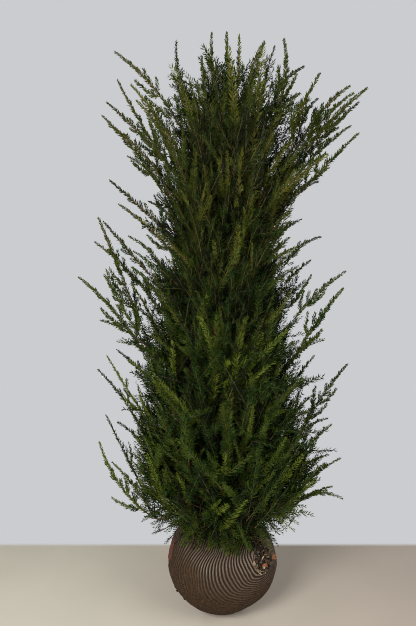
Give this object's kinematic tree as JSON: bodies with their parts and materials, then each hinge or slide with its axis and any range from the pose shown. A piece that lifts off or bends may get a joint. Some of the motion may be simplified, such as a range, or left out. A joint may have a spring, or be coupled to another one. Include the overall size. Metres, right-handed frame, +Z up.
{
  "type": "english yew with root ball",
  "caption": "Column-shaped young yew with upright, outward-arching feathery shoots, standing on a round root ball wrapped in ribbed jute cloth.",
  "frame": {"origin": "middle of the flat underside of the root ball", "axes": "+Z up along the trunk, +X towards the plant's right side as seen from the front, +Y towards its back"},
  "size_m": [1.092, 0.7945, 2.328],
  "materials": {
    "needles": "dark green needles, a little glossy",
    "bark": "thin flaking red-brown bark",
    "root_ball_wrap": "soil-stained grey-brown ribbed jute over packed soil",
    "wrap_cloth": "gathered grey-brown jute cloth"
  },
  "bodies": {
    "root": {"root_ball": "root_ball_wrap", "wrap_neck": "wrap_cloth", "wrap_gather": "wrap_cloth", "trunk": "bark", "foliage_skirt_left": "needles", "foliage_skirt_front": "needles", "foliage_skirt_right": "needles", "foliage_skirt_back_right": "needles", "foliage_skirt_back_left": "needles", "foliage_lower_left": "needles", "foliage_lower_front_left": "needles", "foliage_lower_front_right": "needles", "foliage_lower_right": "needles", "foliage_lower_back": "needles", "foliage_middle_left": "needles", "foliage_middle_front": "needles", "foliage_middle_right": "needles", "foliage_middle_back_right": "needles", "foliage_middle_back_left": "needles", "foliage_upper_left": "needles", "foliage_upper_front_left": "needles", "foliage_upper_front_right": "needles", "foliage_upper_right": "needles", "foliage_upper_back": "needles", "foliage_top_left": "needles", "foliage_top_front_left": "needles", "foliage_top_front_right": "needles", "foliage_top_right": "needles", "foliage_top_back_right": "needles", "foliage_top_back_left": "needles", "foliage_top_centre": "needles", "bough_skirt_left": "bark", "bough_skirt_front": "bark", "bough_skirt_right": "bark", "bough_skirt_back_right": "bark", "bough_skirt_back_left": "bark", "bough_lower_left": "bark", "bough_lower_front_left": "bark", "bough_lower_front_right": "bark", "bough_lower_right": "bark", "bough_lower_back": "bark", "bough_middle_left": "bark", "bough_middle_front": "bark", "bough_middle_right": "bark", "bough_middle_back_right": "bark", "bough_middle_back_left": "bark", "bough_upper_left": "bark", "bough_upper_front_left": "bark", "bough_upper_front_right": "bark", "bough_upper_right": "bark", "bough_upper_back": "bark", "bough_top_left": "bark", "bough_top_front_left": "bark", "bough_top_front_right": "bark", "bough_top_right": "bark", "bough_top_back_right": "bark", "bough_top_back_left": "bark"}
  },
  "joints": []
}
